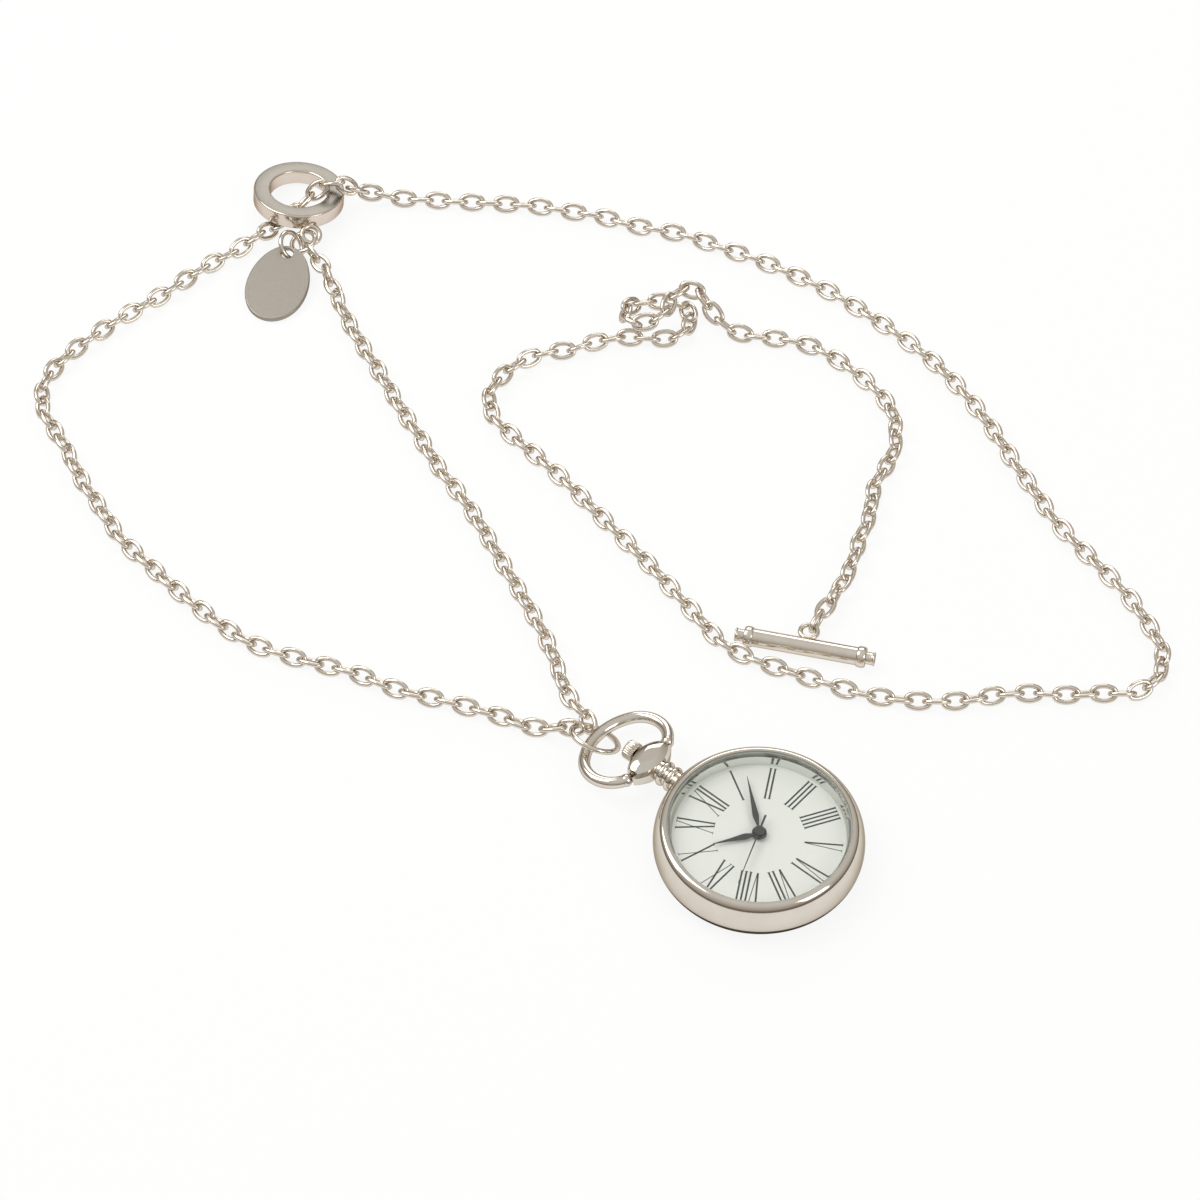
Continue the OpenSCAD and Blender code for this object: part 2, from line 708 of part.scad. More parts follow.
module main_plate() {
    color(brass)
        on_watch() {
            difference() {
                union() {
                    translate([0, 0, plate_z])
                        cylinder(r = move_d / 2, h = plate_t);
                    at_minute()
                        translate([0, 0, plate_z])
                            cylinder(r = arbor_r, h = dial_z - dial_t - 0.05 - plate_z);
                }
                translate([0, 0, plate_z - 1])
                    cylinder(r = tube_r + shaft_play, h = plate_t + 2);
                at_third()
                    translate([0, 0, plate_z - 1])
                        cylinder(r = arbor_r + shaft_play, h = plate_t + 2);
                translate([stem_x - 0.4, -stem_d / 2 - 0.2, plate_z - 1])
                    cube([10, stem_d + 0.4, plate_t + 2]);
                for (p = bridge_feet)
                    translate([p.x, p.y, plate_z - 1])
                        cylinder(d = 0.6, h = 1.5);
            }
        }
}

module train_bridge() {
    color(brass)
        on_watch()
            difference() {
                union() {
                    translate([0, 0, bridge_z])
                        linear_extrude(0.45)
                            polygon([bridge_feet[0] + [1, 1.6], bridge_feet[0] + [-1.8, 1.6],
                                [-1.6, 1.6], [-1.6, -2.4],
                                bridge_feet[1] + [-1.2, -1.4], bridge_feet[1] + [1.6, -1.4],
                                bridge_feet[2] + [1.4, -1.4], bridge_feet[2] + [1.4, 1.4]]);
                    for (p = bridge_feet)
                        translate([p.x, p.y, bridge_z])
                            cylinder(d = 1.8, h = plate_z - bridge_z);
                }
                translate([0, 0, bridge_z - 1])
                    cylinder(r = arbor_r + shaft_play, h = 3);
                at_third()
                    translate([0, 0, bridge_z - 1])
                        cylinder(r = arbor_r + shaft_play, h = 3);
                for (p = bridge_feet)
                    translate([p.x, p.y, bridge_z - 1])
                        cylinder(d = 0.6, h = 5);
            }
}

module bridge_screws() {
    color(steel)
        on_watch()
            for (p = bridge_feet)
                translate([p.x, p.y, bridge_z - 0.3])
                    difference() {
                        union() {
                            cylinder(d = 1.2, h = 0.3);
                            cylinder(d = 0.6, h = plate_z - bridge_z + 0.75);
                        }
                        translate([-1, -0.1, -1])
                            cube([2, 0.2, 1.12]);
                    }
}

module battery() {
    color(steel)
        on_watch()
            translate([battery_x, 0, battery_z])
                union() {
                    cylinder(d = battery_d - 1.2, h = 0.3);
                    translate([0, 0, 0.3])
                        cylinder(d = battery_d, h = battery_h - 0.3);
                }
}

module battery_strap() {
    color(brass)
        on_watch()
            union() {
                translate([battery_x - 0.8, -5, battery_z - 0.2])
                    cube([1.6, 10, 0.2]);
                for (side = [-1, 1])
                    translate([battery_x - 0.8, side * 4.7 - 0.3, battery_z - 0.2])
                        cube([1.6, 0.6, plate_z - battery_z + 0.2]);
            }
}

module drive_coil() {
    color("#a85a2a")
        on_watch()
            translate([-0.6, 7.3, plate_z - 1])
                union() {
                    translate([-3, 0, 0])
                        rotate([0, 90, 0])
                            cylinder(d = 1.8, h = 6);
                    for (x = [-4, 3])
                        translate([x, -1, -1])
                            cube([1, 2, 2]);
                }
}

module motor_can() {
    color(steel)
        on_watch()
            translate([motor.x, motor.y, plate_z - 1.6])
                union() {
                    cylinder(d = 3, h = 1.6);
                    translate([0, 0, -0.3])
                        cylinder(d = 1, h = 0.3);
                }
}

module circuit_board() {
    color("#2f6b46")
        on_watch()
            union() {
                translate([-4.6, -9, plate_z - 0.4])
                    cube([6, 2.2, 0.4]);
                translate([-3.9, -8.6, plate_z - 1.5])
                    cube([2.2, 1.4, 1.1]);
                translate([-0.9, -8.4, plate_z - 1])
                    cube([1.6, 1, 0.6]);
            }
}

module centre_wheel() {
    color(brass)
        on_watch()
            difference() {
                union() {
                    rotate([0, 0, third_angle])
                        wheel(64, third_reach / 36, plate_z - 0.6, 0.2);
                    translate([0, 0, plate_z - 0.8])
                        cylinder(r = tube_r, h = minute_z + hand_t - plate_z + 0.8);
                    rotate([0, 0, minute_angle])
                        wheel(12, minute_reach / 24, plate_z + plate_t + 0.06, 0.24);
                }
                translate([0, 0, plate_z - 2])
                    cylinder(r = arbor_r + shaft_play, h = 8);
            }
}

module third_wheel() {
    color(brass)
        on_watch()
            at_third()
                union() {
                    translate([0, 0, bridge_z + 0.1])
                        cylinder(r = arbor_r, h = plate_z + 0.4 - bridge_z - 0.1);
                    rotate([0, 0, 180 / 8])
                        wheel(8, third_reach / 36, plate_z - 0.7, 0.4);
                    rotate([0, 0, 180 / 60])
                        wheel(60, third_reach / 34, plate_z - 1.3, 0.2);
                }
}

module second_wheel() {
    color(brass)
        on_watch()
            union() {
                translate([0, 0, bridge_z + 0.1])
                    cylinder(r = arbor_r, h = second_z + hand_t - bridge_z - 0.1);
                rotate([0, 0, third_angle])
                    wheel(8, third_reach / 34, plate_z - 1.4, 0.4);
                translate([0, 0, plate_z - 1.6])
                    cylinder(r = 1.6, h = 0.15);
            }
}

module minute_wheel() {
    color(brass)
        on_watch()
            at_minute()
                difference() {
                    union() {
                        rotate([0, 0, 180 / 36])
                            wheel(36, minute_reach / 24, plate_z + plate_t + 0.08, 0.16);
                        rotate([0, 0, 180 / 10])
                            wheel(10, minute_reach / 25, plate_z + plate_t + 0.2, 0.42);
                    }
                    translate([0, 0, plate_z])
                        cylinder(r = arbor_r + shaft_play, h = 3);
                }
}

module hour_wheel() {
    color(brass)
        on_watch()
            difference() {
                union() {
                    rotate([0, 0, minute_angle])
                        wheel(40, minute_reach / 25, plate_z + plate_t + 0.38, 0.22);
                    translate([0, 0, plate_z + plate_t + 0.38])
                        cylinder(r = pipe_r, h = hour_z + hand_t - plate_z - plate_t - 0.38);
                }
                translate([0, 0, plate_z])
                    cylinder(r = tube_r + shaft_play, h = 4);
            }
}

// Leaf hand: slim at the hub, widest part way along, pointed at the tip
module leaf_hand(l, w, hub, hole, z, angle) {
    on_watch()
        rotate([0, 0, -angle])
            translate([0, 0, z])
                difference() {
                    union() {
                        cylinder(r = hub, h = hand_t + hub_rise);
                        linear_extrude(hand_t)
                            polygon([[0, 0.22], [0.25 * l, w * 0.62], [0.5 * l, w], [0.75 * l, w * 0.6],
                                [l, 0.06], [l, -0.06], [0.75 * l, -w * 0.6], [0.5 * l, -w],
                                [0.25 * l, -w * 0.62], [0, -0.22]]);
                    }
                    translate([0, 0, -1])
                        cylinder(r = hole, h = 2);
                }
}

module hour_hand() {
    color(black)
        leaf_hand(hour_l, 0.75, 1.35, pipe_r, hour_z, shown_minutes / 2);
}

module minute_hand() {
    color(black)
        leaf_hand(minute_l, 0.6, 1.3, tube_r, minute_z, (shown_minutes % 60) * 6);
}

module second_hand() {
    color(black)
        on_watch()
            rotate([0, 0, -shown_seconds * 6])
                translate([0, 0, second_z])
                    difference() {
                        union() {
                            cylinder(r = 1, h = hand_t + hub_rise);
                            linear_extrude(hand_t)
                                polygon([[-3.6, 0.2], [0, 0.14], [second_l, 0.05],
                                    [second_l, -0.05], [0, -0.14], [-3.6, -0.2]]);
                        }
                        translate([0, 0, -1])
                            cylinder(r = arbor_r, h = 2);
                    }
}

module toggle_ring() {
    edge = 0.2;
    color(nickel)
        at_ring()
            rotate_extrude($fn = 120)
                polygon([[ring_hole_d / 2, edge - ring_t / 2], [ring_hole_d / 2 + edge, -ring_t / 2],
                    [ring_d / 2 - edge, -ring_t / 2], [ring_d / 2, edge - ring_t / 2],
                    [ring_d / 2, ring_t / 2 - edge], [ring_d / 2 - edge, ring_t / 2],
                    [ring_hole_d / 2 + edge, ring_t / 2], [ring_hole_d / 2, ring_t / 2 - edge]]);
}

module ring_eye() {
    color(nickel)
        at_ring()
            rotate([0, 0, eye_angle])
                difference() {
                    translate([ring_d / 2, 0, -eye_drop])
                        rotate([0, eye_sag, 0])
                            translate([eye_r - 0.15, 0, 0])
                                wire_ring(eye_r, ring_wire);
                    translate([0, 0, -ring_t])
                        cylinder(d = ring_d, h = 2 * ring_t, $fn = 120);
                }
}

module joint_ring() {
    color(nickel)
        translate(joint_c)
            rotate([0, 0, joint_heading])
                rotate([0, -joint_tilt, 0])
                    wire_ring(joint_r, ring_wire);
}

module at_tag() {
    translate(tag_c)
        rotate([0, 0, tag_heading])
            rotate([0, -tag_rise, 0])
                children();
}

module tag_ring() {
    color(nickel)
        at_tag()
            translate([tag_hole_x, 0, 0] + tag_ring_shift)
                rotate([0, 0, tag_ring_turn])
                    rotate([tag_ring_tilt, 0, 0])
                        wire_ring(tag_ring_r, ring_wire);
}

module tag() {
    color("#aaa69c")
        at_tag()
            difference() {
                translate([0, 0, -tag_t / 2])
                    linear_extrude(tag_t)
                        polygon(egg(tag_l / 2, tag_w / 2, tag_taper));
                translate([tag_hole_x, 0, -5])
                    cylinder(d = tag_hole_d, h = 10);
            }
}

module at_bar() {
    translate(bar_mid)
        rotate([0, 0, bar_heading])
            children();
}

module bar_body() {
    color(nickel)
        at_bar()
            rotate([0, 90, 0])
                cylinder(d = bar_d, h = bar_l - 2 * bar_button_l, center = true);
}

module bar_collars() {
    color(nickel)
        at_bar()
            for (side = [0, 180])
                rotate([0, 0, side])
                    rotate([0, 90, 0])
                        tube(bar_collar_d / 2, bar_d / 2, bar_l / 2 - bar_button_l - bar_collar_l,
                            bar_collar_l);
}

module bar_buttons() {
    dome = 0.35;
    color(nickel)
        at_bar()
            for (side = [0, 180])
                rotate([0, 0, side])
                    rotate([0, 90, 0])
                        translate([0, 0, bar_l / 2 - bar_button_l])
                            rotate_extrude()
                                polygon([[0, 0], [bar_button_d / 2, 0],
                                    [bar_button_d / 2, bar_button_l - dome],
                                    [bar_button_d / 2 - dome, bar_button_l], [0, bar_button_l]]);
}

module bar_eye() {
    color(nickel)
        at_bar()
            difference() {
                translate([0, bar_eye_y, 0])
                    wire_ring((bar_eye_d - ring_wire) / 2, ring_wire);
                rotate([0, 90, 0])
                    cylinder(d = bar_d, h = 10, center = true);
            }
}

module loop_right_1() {
    color(nickel)
        right_run(0);
}

module loop_right_2() {
    color(nickel)
        right_run(1);
}

module loop_left_1() {
    color(nickel)
        main_run(0);
}

module loop_left_2() {
    color(nickel)
        main_run(1);
}

module loop_left_3() {
    color(nickel)
        main_run(2);
}

module loop_left_4() {
    color(nickel)
        main_run(3);
}

module arm_1() {
    color(nickel)
        main_run(4);
}

module arm_2() {
    color(nickel)
        main_run(5);
}

module arm_3() {
    color(nickel)
        main_run(6);
}

module arm_4() {
    color(nickel)
        main_run(7);
}

module arm_5() {
    color(nickel)
        main_run(8);
}

module arm_6() {
    color(nickel)
        main_run(9);
}

module arm_7() {
    color(nickel)
        main_run(10);
}

module arm_8() {
    color(nickel)
        main_run(11);
}

module arm_9() {
    color(nickel)
        main_run(12);
}

module arm_10() {
    color(nickel)
        main_run(13);
}

case_body();
case_back();
back_gasket();
crystal();
crystal_gasket();
dial_flange();
dial();
movement_holder();
main_plate();
train_bridge();
bridge_screws();
battery();
battery_strap();
drive_coil();
motor_can();
circuit_board();
pendant_neck();
pendant_head();
setting_stem();
crown();
hour_wheel();
hour_hand();
minute_wheel();
centre_wheel();
minute_hand();
third_wheel();
second_wheel();
second_hand();
bow();
bow_ring();
loop_right_1();
loop_right_2();
loop_left_1();
loop_left_2();
loop_left_3();
loop_left_4();
arm_1();
arm_2();
arm_3();
arm_4();
arm_5();
arm_6();
arm_7();
arm_8();
arm_9();
arm_10();
toggle_ring();
ring_eye();
joint_ring();
tag_ring();
tag();
bar_body();
bar_collars();
bar_buttons();
bar_eye();
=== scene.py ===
# %% [markdown]
# # A pocket watch on its chain
#
# This lesson dresses a CAD model of a watch chain. The CAD parts give every size and place.
# Blender adds what the eye wants: round wire, soft edges, a printed dial and polished metal.

# %%
import json
from math import asin, atan2, cos, degrees, hypot, pi, radians, sin

import bpy
import numpy as np
from mathutils import Matrix, Vector


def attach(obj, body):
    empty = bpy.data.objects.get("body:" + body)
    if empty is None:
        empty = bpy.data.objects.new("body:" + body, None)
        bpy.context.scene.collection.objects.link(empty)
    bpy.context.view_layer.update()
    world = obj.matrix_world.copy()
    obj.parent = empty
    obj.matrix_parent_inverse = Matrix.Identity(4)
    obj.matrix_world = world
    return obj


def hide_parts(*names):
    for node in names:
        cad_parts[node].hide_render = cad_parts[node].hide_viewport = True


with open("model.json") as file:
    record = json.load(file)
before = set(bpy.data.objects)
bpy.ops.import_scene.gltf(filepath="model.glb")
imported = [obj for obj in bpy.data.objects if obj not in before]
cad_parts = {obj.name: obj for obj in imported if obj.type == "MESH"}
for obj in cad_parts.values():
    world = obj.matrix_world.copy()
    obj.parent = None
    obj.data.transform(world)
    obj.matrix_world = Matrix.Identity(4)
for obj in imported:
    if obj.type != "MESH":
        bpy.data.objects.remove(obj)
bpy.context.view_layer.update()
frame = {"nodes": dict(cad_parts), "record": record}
bpy.ops.object.select_all(action="DESELECT")
MM = 0.001

# %% [markdown]
# ## The camera
#
# A long lens keeps the far links nearly as large as the near ones. The camera looks down at the
# table by about 51 degrees, from in front of the watch.

# %%
LENS_MM, SENSOR_MM = 135, 36
CAMERA_PLACE, LOOK_DOWN = (-0.02839, -0.46845, 0.6587), 51.35
scene = bpy.context.scene
camera_data = bpy.data.cameras.new("camera")
camera_data.lens = LENS_MM
camera_data.sensor_width = SENSOR_MM
camera = bpy.data.objects.new("camera", camera_data)
camera.location = CAMERA_PLACE
camera.rotation_euler = (radians(90 - LOOK_DOWN), 0, 0)
scene.collection.objects.link(camera)
scene.camera = camera
scene.view_settings.view_transform = "Standard"

# %% [markdown]
# ## Materials
#
# One function turns a hex colour into linear light, and one adds a shader node with its settings
# and links. All patterns use Object coordinates, so they stay put when a piece moves.

# %%
RELIEF_DEPTH, GLASS_ROUGH = 0.0001, 0.02


def colour(code):
    parts = [int(code[i:i + 2], 16) / 255 for i in (1, 3, 5)]
    return [p / 12.92 if p <= 0.04045 else ((p + 0.055) / 1.055) ** 2.4 for p in parts] + [1]


def add(tree, kind, inputs=None, **settings):
    node = tree.nodes.new(kind)
    for key, value in settings.items():
        setattr(node, key, value)
    for key, value in (inputs or {}).items():
        if isinstance(value, bpy.types.NodeSocket):
            tree.links.new(value, node.inputs[key])
        else:
            node.inputs[key].default_value = value
    return node


def new_tree(name):
    material = bpy.data.materials.new(name)
    material.use_nodes = True
    material.node_tree.nodes.clear()
    return material, material.node_tree


def metal(name, light, dark, edge, rough, spread, scale, bump=0.0):
    material, tree = new_tree(name)
    place = add(tree, "ShaderNodeTexCoord").outputs["Object"]
    noise = add(tree, "ShaderNodeTexNoise", {"Vector": place, "Scale": scale, "Detail": 4.0})
    tint = add(tree, "ShaderNodeMix", {0: noise.outputs["Fac"], 6: colour(dark), 7: colour(light)},
               data_type="RGBA")
    sheen = add(tree, "ShaderNodeMapRange", {"Value": noise.outputs["Fac"],
                                             "To Min": rough - spread, "To Max": rough + spread})
    inputs = {"Base Color": tint.outputs[2], "Metallic": 1.0, "Roughness": sheen.outputs["Result"],
              "Specular Tint": colour(edge)}
    if bump:
        relief = add(tree, "ShaderNodeBump", {"Height": noise.outputs["Fac"], "Strength": bump,
                                              "Distance": RELIEF_DEPTH})
        inputs["Normal"] = relief.outputs["Normal"]
    shader = add(tree, "ShaderNodeBsdfPrincipled", inputs)
    add(tree, "ShaderNodeOutputMaterial", {"Surface": shader.outputs["BSDF"]})
    return material


def paint(name, code, rough, coat=0.0):
    material, tree = new_tree(name)
    shader = add(tree, "ShaderNodeBsdfPrincipled", {"Base Color": colour(code), "Roughness": rough,
                                                    "Coat Weight": coat})
    add(tree, "ShaderNodeOutputMaterial", {"Surface": shader.outputs["BSDF"]})
    return material


def glass(name, code, share):
    material, tree = new_tree(name)
    shader = add(tree, "ShaderNodeBsdfPrincipled", {"Base Color": colour(code), "Alpha": share,
                                                    "Roughness": GLASS_ROUGH})
    add(tree, "ShaderNodeOutputMaterial", {"Surface": shader.outputs["BSDF"]})
    return material


polished_steel = metal("mirror_polished_steel", "#dfd8cd", "#d1c9bd", "#b6ac9f", 0.09, 0.015, 300)
# The flange steel's pale greenish tint is a painted reflection of the dial, laid over the steel's
# own reflection.
flange_steel_with_dial_reflection = metal("flange_steel_painted_dial_reflection", "#e6e8e3", "#dde0da", "#d2d5cf", 0.12, 0.02, 300)
# The darker brushed steel is painted shade: it stands in for the shadowed underside of the case.
underside_shade_steel = metal("brushed_steel_painted_underside_shade", "#7a756e", "#5e5a54", "#6a655f", 0.42, 0.05, 4000, 0.15)
nickel = metal("polished_nickel", "#e4dcd0", "#d7cec1", "#b0a494", 0.15, 0.03, 500)
satin_nickel = metal("satin_ring_nickel", "#9b968e", "#8f8a83", "#8f8a83", 0.36, 0.04, 3000, 0.1)
rose_nickel = metal("polished_rose_nickel", "#e2d6ca", "#d5c8bb", "#b3a393", 0.18, 0.03, 500)
tag_satin = metal("satin_tag_nickel", "#aaa49a", "#9c968c", "#9c968c", 0.4, 0.05, 2600, 0.12)
brass = metal("movement_brass", "#c8a951", "#b4953f", "#d8bd6a", 0.25, 0.05, 800)
hand_black = paint("black_hand_lacquer", "#2c2d29", 0.28, 0.3)
print_black = paint("black_dial_print", "#3a3d37", 0.6)
dial_white = paint("white_dial_paint", "#e3e6e0", 0.5)
crystal_glass = glass("clear_crystal", "#f4f8f8", 0.02)
gasket_clear = paint("pale_gasket", "#a9b0aa", 0.4)
rubber = paint("black_rubber", "#1c1c1b", 0.7)
holder_plastic = paint("white_holder_plastic", "#d2d2cd", 0.5)
board_green = paint("green_board", "#1f5a37", 0.45)
copper = metal("enamelled_copper", "#c07a4e", "#a8663d", "#d08a5e", 0.35, 0.05, 900)

# %% [markdown]
# ## Tools for round shapes
#
# A wire is a circle that is spun along arcs. A turned piece is an outline that is spun once
# round. A plate is an outline that is filled and pulled up, and a layered piece is pulled up in
# steps and made wider or narrower at each. Each one starts from a circle. Blender's spin turns
# clockwise for a positive angle, so the sign is set in one place.

# %%
CLOCKWISE = -1
SAME_POINT, SLIVER = 2e-6, 1e-7
BEVEL_STEPS, SHARP_ANGLE, PLATE_ANGLE = 3, 40, 30


def start_circle(name, points, radius, rotation=(0, 0, 0), location=(0, 0, 0)):
    bpy.ops.object.select_all(action="DESELECT")
    bpy.ops.mesh.primitive_circle_add(vertices=points, radius=radius, rotation=rotation,
                                      location=location)
    piece = bpy.context.object
    piece.name = piece.data.name = name
    bpy.ops.object.transform_apply(location=True, rotation=True, scale=True)
    return piece


def close_mesh(merge, angle=None):
    bpy.ops.mesh.select_all(action="SELECT")
    if merge:
        bpy.ops.mesh.remove_doubles(threshold=SAME_POINT)
    bpy.ops.mesh.dissolve_degenerate(threshold=SLIVER)
    bpy.ops.mesh.normals_make_consistent(inside=False)
    bpy.ops.object.mode_set(mode="OBJECT")
    if angle is None:
        bpy.ops.object.shade_smooth()
    else:
        bpy.ops.object.shade_smooth_by_angle(angle=radians(angle))


def wire(name, thick, centre, radius, angle, path, sides=12, closed=True):
    a = radians(angle)
    at = Vector((centre[0] + radius * cos(a), centre[1] + radius * sin(a), 0)) * MM
    piece = start_circle(name, sides, thick / 2 * MM, (pi / 2, 0, a), at)
    bpy.ops.object.mode_set(mode="EDIT")
    bpy.ops.mesh.select_all(action="SELECT")
    for middle, sweep, steps in path:
        bpy.ops.mesh.spin(steps=steps, angle=CLOCKWISE * radians(sweep),
                          center=Vector((*middle, 0)) * MM, axis=(0, 0, 1))
    if not closed:
        bpy.ops.mesh.select_all(action="SELECT")
        bpy.ops.mesh.fill_holes(sides=0)
    close_mesh(closed, None if closed else SHARP_ANGLE)
    return piece


def reshape(piece, points):
    for vertex, point in zip(piece.data.vertices, points):
        vertex.co = Vector(point) * MM


def turned(name, outline, steps=96, angle=35):
    piece = start_circle(name, len(outline), MM)
    reshape(piece, [(r, 0, z) for r, z in outline])
    bpy.ops.object.mode_set(mode="EDIT")
    bpy.ops.mesh.select_all(action="SELECT")
    bpy.ops.mesh.spin(steps=steps, angle=2 * pi, center=(0, 0, 0), axis=(0, 0, 1))
    close_mesh(True, angle)
    return piece


def plate(name, outline, thick):
    piece = start_circle(name, len(outline), MM)
    reshape(piece, [(x, y, 0) for x, y in outline])
    bpy.ops.object.mode_set(mode="EDIT")
    bpy.ops.mesh.select_all(action="SELECT")
    bpy.ops.mesh.edge_face_add()
    bpy.ops.mesh.extrude_region_move(TRANSFORM_OT_translate={"value": (0, 0, thick * MM)})
    close_mesh(False, PLATE_ANGLE)
    return piece


def layered(name, outline, layers, angle):
    height, share = layers[0]
    piece = start_circle(name, len(outline), MM)
    reshape(piece, [(x * share, y * share, height) for x, y in outline])
    bpy.ops.object.mode_set(mode="EDIT")
    bpy.ops.mesh.select_all(action="SELECT")
    for z, size in layers[1:]:
        step = (0, 0, (z - height) * MM)
        bpy.ops.mesh.extrude_region_move(TRANSFORM_OT_translate={"value": step})
        bpy.ops.transform.resize(value=(size / share, size / share, 1))
        height, share = z, size
    bpy.ops.mesh.select_all(action="SELECT")
    bpy.ops.mesh.fill_holes(sides=0)
    close_mesh(False, angle)
    return piece


def soften(piece, width):
    bevel = piece.modifiers.new("soft_edge", "BEVEL")
    bevel.width = width * MM
    bevel.segments = BEVEL_STEPS
    bevel.limit_method = "ANGLE"
    bevel.angle_limit = radians(SHARP_ANGLE)
    bpy.context.view_layer.objects.active = piece
    bpy.ops.object.modifier_apply(modifier=bevel.name)


def cut_away(piece, cutter):
    cut = piece.modifiers.new("cut", "BOOLEAN")
    cut.object = cutter
    bpy.context.view_layer.objects.active = piece
    bpy.ops.object.modifier_apply(modifier=cut.name)
    bpy.data.objects.remove(cutter)


def even_shading(piece, angle=50):
    bpy.ops.object.select_all(action="DESELECT")
    piece.select_set(True)
    bpy.context.view_layer.objects.active = piece
    bpy.ops.object.shade_smooth_by_angle(angle=radians(angle))
    even = piece.modifiers.new("even_normals", "WEIGHTED_NORMAL")
    even.keep_sharp = True
    bpy.ops.object.modifier_apply(modifier=even.name)


def oval(centre, a, b, start, end, steps):
    turns = [radians(start + (end - start) * i / steps) for i in range(steps + 1)]
    return [(centre[0] + a * cos(t), centre[1] + b * sin(t)) for t in turns]


def join(pieces, name):
    bpy.ops.object.select_all(action="DESELECT")
    for piece in pieces:
        piece.select_set(True)
    bpy.context.view_layer.objects.active = pieces[0]
    if len(pieces) > 1:
        bpy.ops.object.join()
    pieces[0].name = pieces[0].data.name = name
    return pieces[0]


def dress(piece, material, body, place=None, nodes=()):
    if place is not None:
        piece.data.transform(place)
        piece.data.update()
    if not piece.data.materials:
        piece.data.materials.append(material)
    if nodes:
        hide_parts(*nodes)
    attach(piece, body)
    return piece


# %% [markdown]
# ## Reading places from the CAD parts
#
# A CAD part's own points tell where it lies: their main directions are its axes. A chain run is
# many separate links in one part, so its points are first sorted into links.

# %%
ROUND_TO = 1e-6


def points_of(name):
    mesh = frame["nodes"][name].data
    co = np.empty(len(mesh.vertices) * 3)
    mesh.vertices.foreach_get("co", co)
    return co.reshape(-1, 3)


def axes_of(points):
    middle = points.mean(axis=0)
    _, turn = np.linalg.eigh(np.cov((points - middle).T))
    turn = turn[:, ::-1]
    local = (points - middle) @ turn
    middle = middle + turn @ ((local.max(axis=0) + local.min(axis=0)) / 2)
    if np.linalg.det(turn) < 0:
        turn[:, 2] = -turn[:, 2]
    return middle, turn


def matrix(middle, turn):
    result = Matrix([[*row, 0] for row in turn.tolist()] + [[0, 0, 0, 1]])
    result.translation = Vector(middle.tolist())
    return result


def links_of(name):
    points = points_of(name)
    mesh = frame["nodes"][name].data
    mesh.calc_loop_triangles()
    faces = np.empty(len(mesh.loop_triangles) * 3, dtype=np.int64)
    mesh.loop_triangles.foreach_get("vertices", faces)
    _, first, same = np.unique(np.round(points / ROUND_TO), axis=0, return_index=True,
                               return_inverse=True)
    faces = same.reshape(-1)[faces].reshape(-1, 3)
    group = np.arange(len(first))
    while True:
        low = group[faces].min(axis=1)
        before = group.copy()
        for k in range(3):
            np.minimum.at(group, faces[:, k], low)
        group = group[group]
        if np.array_equal(group, before):
            break
    return [points[first[group == g]] for g in np.unique(group)]


# %% [markdown]
# ## The chain
#
# A link is an oval of four arcs: two tight ends and two wide sides. It is made once from a small
# circle that is spun along them, then copied to every link of the CAD runs.

# %%
LINK_L, LINK_W, WIRE, END_R = 5.45, 3.7, 0.88, 1.18
half_l, half_w = (LINK_L - WIRE) / 2, (LINK_W - WIRE) / 2


def wide_radius(a, b, r):
    return ((a - r) ** 2 + b ** 2 - r ** 2) / (2 * (b - r))


end_x = half_l - END_R
side_r = wide_radius(half_l, half_w, END_R)
turn = degrees(atan2(side_r - half_w, end_x))
link = wire("link", WIRE, (end_x, 0), END_R, 0, [
    ((end_x, 0), turn, 6), ((0, half_w - side_r), 180 - 2 * turn, 8), ((-end_x, 0), 2 * turn, 12),
    ((0, side_r - half_w), 180 - 2 * turn, 8), ((end_x, 0), turn, 6)])
link.data.materials.append(nickel)

bodies = frame["record"]["behaviour"]["bodies"]
body_of = {node: body for body, members in bodies.items() for node in members}
runs = [name for name in frame["nodes"] if name.startswith(("loop_", "arm_"))]
for run in runs:
    copies = []
    for points in links_of(run):
        copy = link.copy()
        copy.data = link.data.copy()
        copy.data.transform(matrix(*axes_of(points)))
        scene.collection.objects.link(copy)
        copies.append(copy)
    dress(join(copies, run + "_links"), nickel, body_of[run], None, [run])
bpy.data.objects.remove(link)

# %% [markdown]
# ## Rings of the chain
#
# A jump ring is bent from wire, so it has a fine seam where its ends meet. The spin stops just
# short of a full turn and the ends are closed.

# %%
RING_SWEEP, RING_STEPS, RING_SIDES = 359, 56, 20
RING_SEAM = {"bow_ring": 70, "joint_ring": 200, "tag_ring": 120, "ring_eye": 180, "bar_eye": -90}
for name, turn in RING_SEAM.items():
    points = points_of(name)
    middle, axes = axes_of(points)
    local = (points - middle) @ axes
    thick = np.ptp(local[:, 2]) / MM
    radius = np.ptp(local[:, 0]) / 2 / MM - thick / 2
    ring = wire(name + "_wire", thick, (0, 0), radius, turn, [((0, 0), RING_SWEEP, RING_STEPS)],
                RING_SIDES, closed=False)
    dress(ring, nickel, body_of[name], matrix(middle, axes), [name])

# %% [markdown]
# ## The toggle ring
#
# A flat washer with soft edges: satin on its faces, polished on its walls.

# %%
RING_D, RING_HOLE, RING_T, RING_EDGE, FLAT_FACE = 18.2, 11.7, 3.2, 0.35, 0.9
corners = [(RING_HOLE / 2, -RING_T / 2, 180), (RING_D / 2, -RING_T / 2, 270),
           (RING_D / 2, RING_T / 2, 0), (RING_HOLE / 2, RING_T / 2, 90)]
outline = []
for r, z, start in corners:
    inward = (RING_EDGE if r < RING_D / 2 else -RING_EDGE, RING_EDGE if z < 0 else -RING_EDGE)
    outline += oval((r + inward[0], z + inward[1]), RING_EDGE, RING_EDGE, start, start + 90, 4)
toggle_ring = turned("toggle_ring_body", outline, steps=120, angle=60)
toggle_ring.data.materials.append(rose_nickel)
toggle_ring.data.materials.append(satin_nickel)
for face in toggle_ring.data.polygons:
    face.material_index = 1 if abs(face.normal.z) > FLAT_FACE else 0
